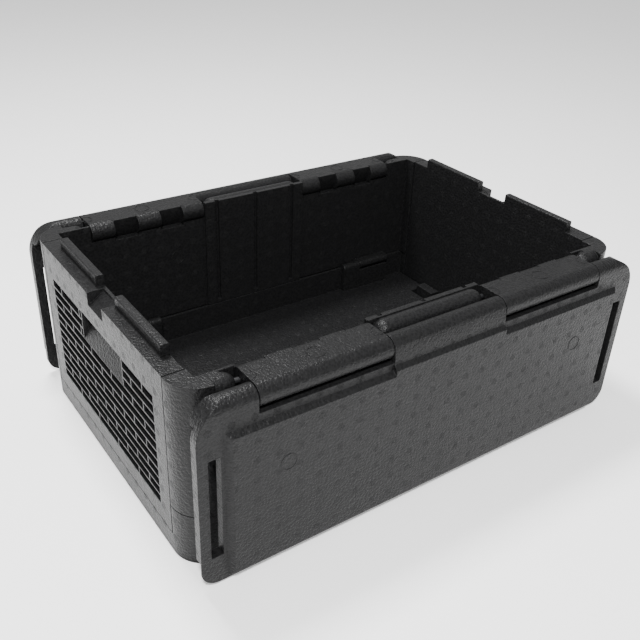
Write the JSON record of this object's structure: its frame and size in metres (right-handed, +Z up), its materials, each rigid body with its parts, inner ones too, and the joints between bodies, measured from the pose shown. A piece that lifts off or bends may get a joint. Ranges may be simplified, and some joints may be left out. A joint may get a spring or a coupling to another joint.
{
  "type": "attached lid tote",
  "caption": "Open foam transport tote with folding end walls and two attached lid halves that hang outside the long walls on double hinges.",
  "frame": {"origin": "middle of the footprint, on the surface that the tote stands on", "axes": "+X along the tote towards its right end, +Y across it towards the back long wall, +Z up"},
  "size_m": [0.6, 0.465, 0.2335],
  "materials": {
    "bead_foam": "moulded bead foam skin, fine leather grain, satin",
    "hinge_pin": "smooth extruded plastic rod"
  },
  "bodies": {
    "base": {"base_tray": "bead_foam", "front_wall": "bead_foam", "back_wall": "bead_foam", "front_left_wall_pin": "hinge_pin", "front_right_wall_pin": "hinge_pin", "back_left_wall_pin": "hinge_pin", "back_right_wall_pin": "hinge_pin", "front_left_fold_pin": "hinge_pin", "front_right_fold_pin": "hinge_pin", "back_left_fold_pin": "hinge_pin", "back_right_fold_pin": "hinge_pin", "left_end_front_pin": "hinge_pin", "left_end_back_pin": "hinge_pin", "right_end_front_pin": "hinge_pin", "right_end_back_pin": "hinge_pin"},
    "left_end": {"left_end_wall": "bead_foam"},
    "right_end": {"right_end_wall": "bead_foam"},
    "front_links": {"front_left_link": "bead_foam", "front_right_link": "bead_foam", "front_left_lid_pin": "hinge_pin", "front_right_lid_pin": "hinge_pin"},
    "front_lid": {"front_lid": "bead_foam"},
    "back_links": {"back_left_link": "bead_foam", "back_right_link": "bead_foam", "back_left_lid_pin": "hinge_pin", "back_right_lid_pin": "hinge_pin"},
    "back_lid": {"back_lid": "bead_foam"}
  },
  "joints": [
    {"name": "left_end_fold", "type": "hinge", "parent": "base", "child": "left_end", "pos_m": [-0.269, 0, 0.019], "axis": [0, -1, 0], "range_deg": [-90, 0]},
    {"name": "right_end_fold", "type": "hinge", "parent": "base", "child": "right_end", "pos_m": [0.269, 0, 0.019], "axis": [0, 1, 0], "range_deg": [-90, 0]},
    {"name": "front_link_swing", "type": "hinge", "parent": "base", "child": "front_links", "pos_m": [0, -0.1875, 0.2075], "axis": [-1, 0, 0], "range_deg": [0, 90]},
    {"name": "front_lid_swing", "type": "hinge", "parent": "front_links", "child": "front_lid", "pos_m": [0, -0.2145, 0.2075], "axis": [-1, 0, 0], "range_deg": [0, 180]},
    {"name": "back_link_swing", "type": "hinge", "parent": "base", "child": "back_links", "pos_m": [0, 0.1875, 0.2075], "axis": [1, 0, 0], "range_deg": [0, 90]},
    {"name": "back_lid_swing", "type": "hinge", "parent": "back_links", "child": "back_lid", "pos_m": [0, 0.2145, 0.2075], "axis": [1, 0, 0], "range_deg": [0, 180]}
  ]
}
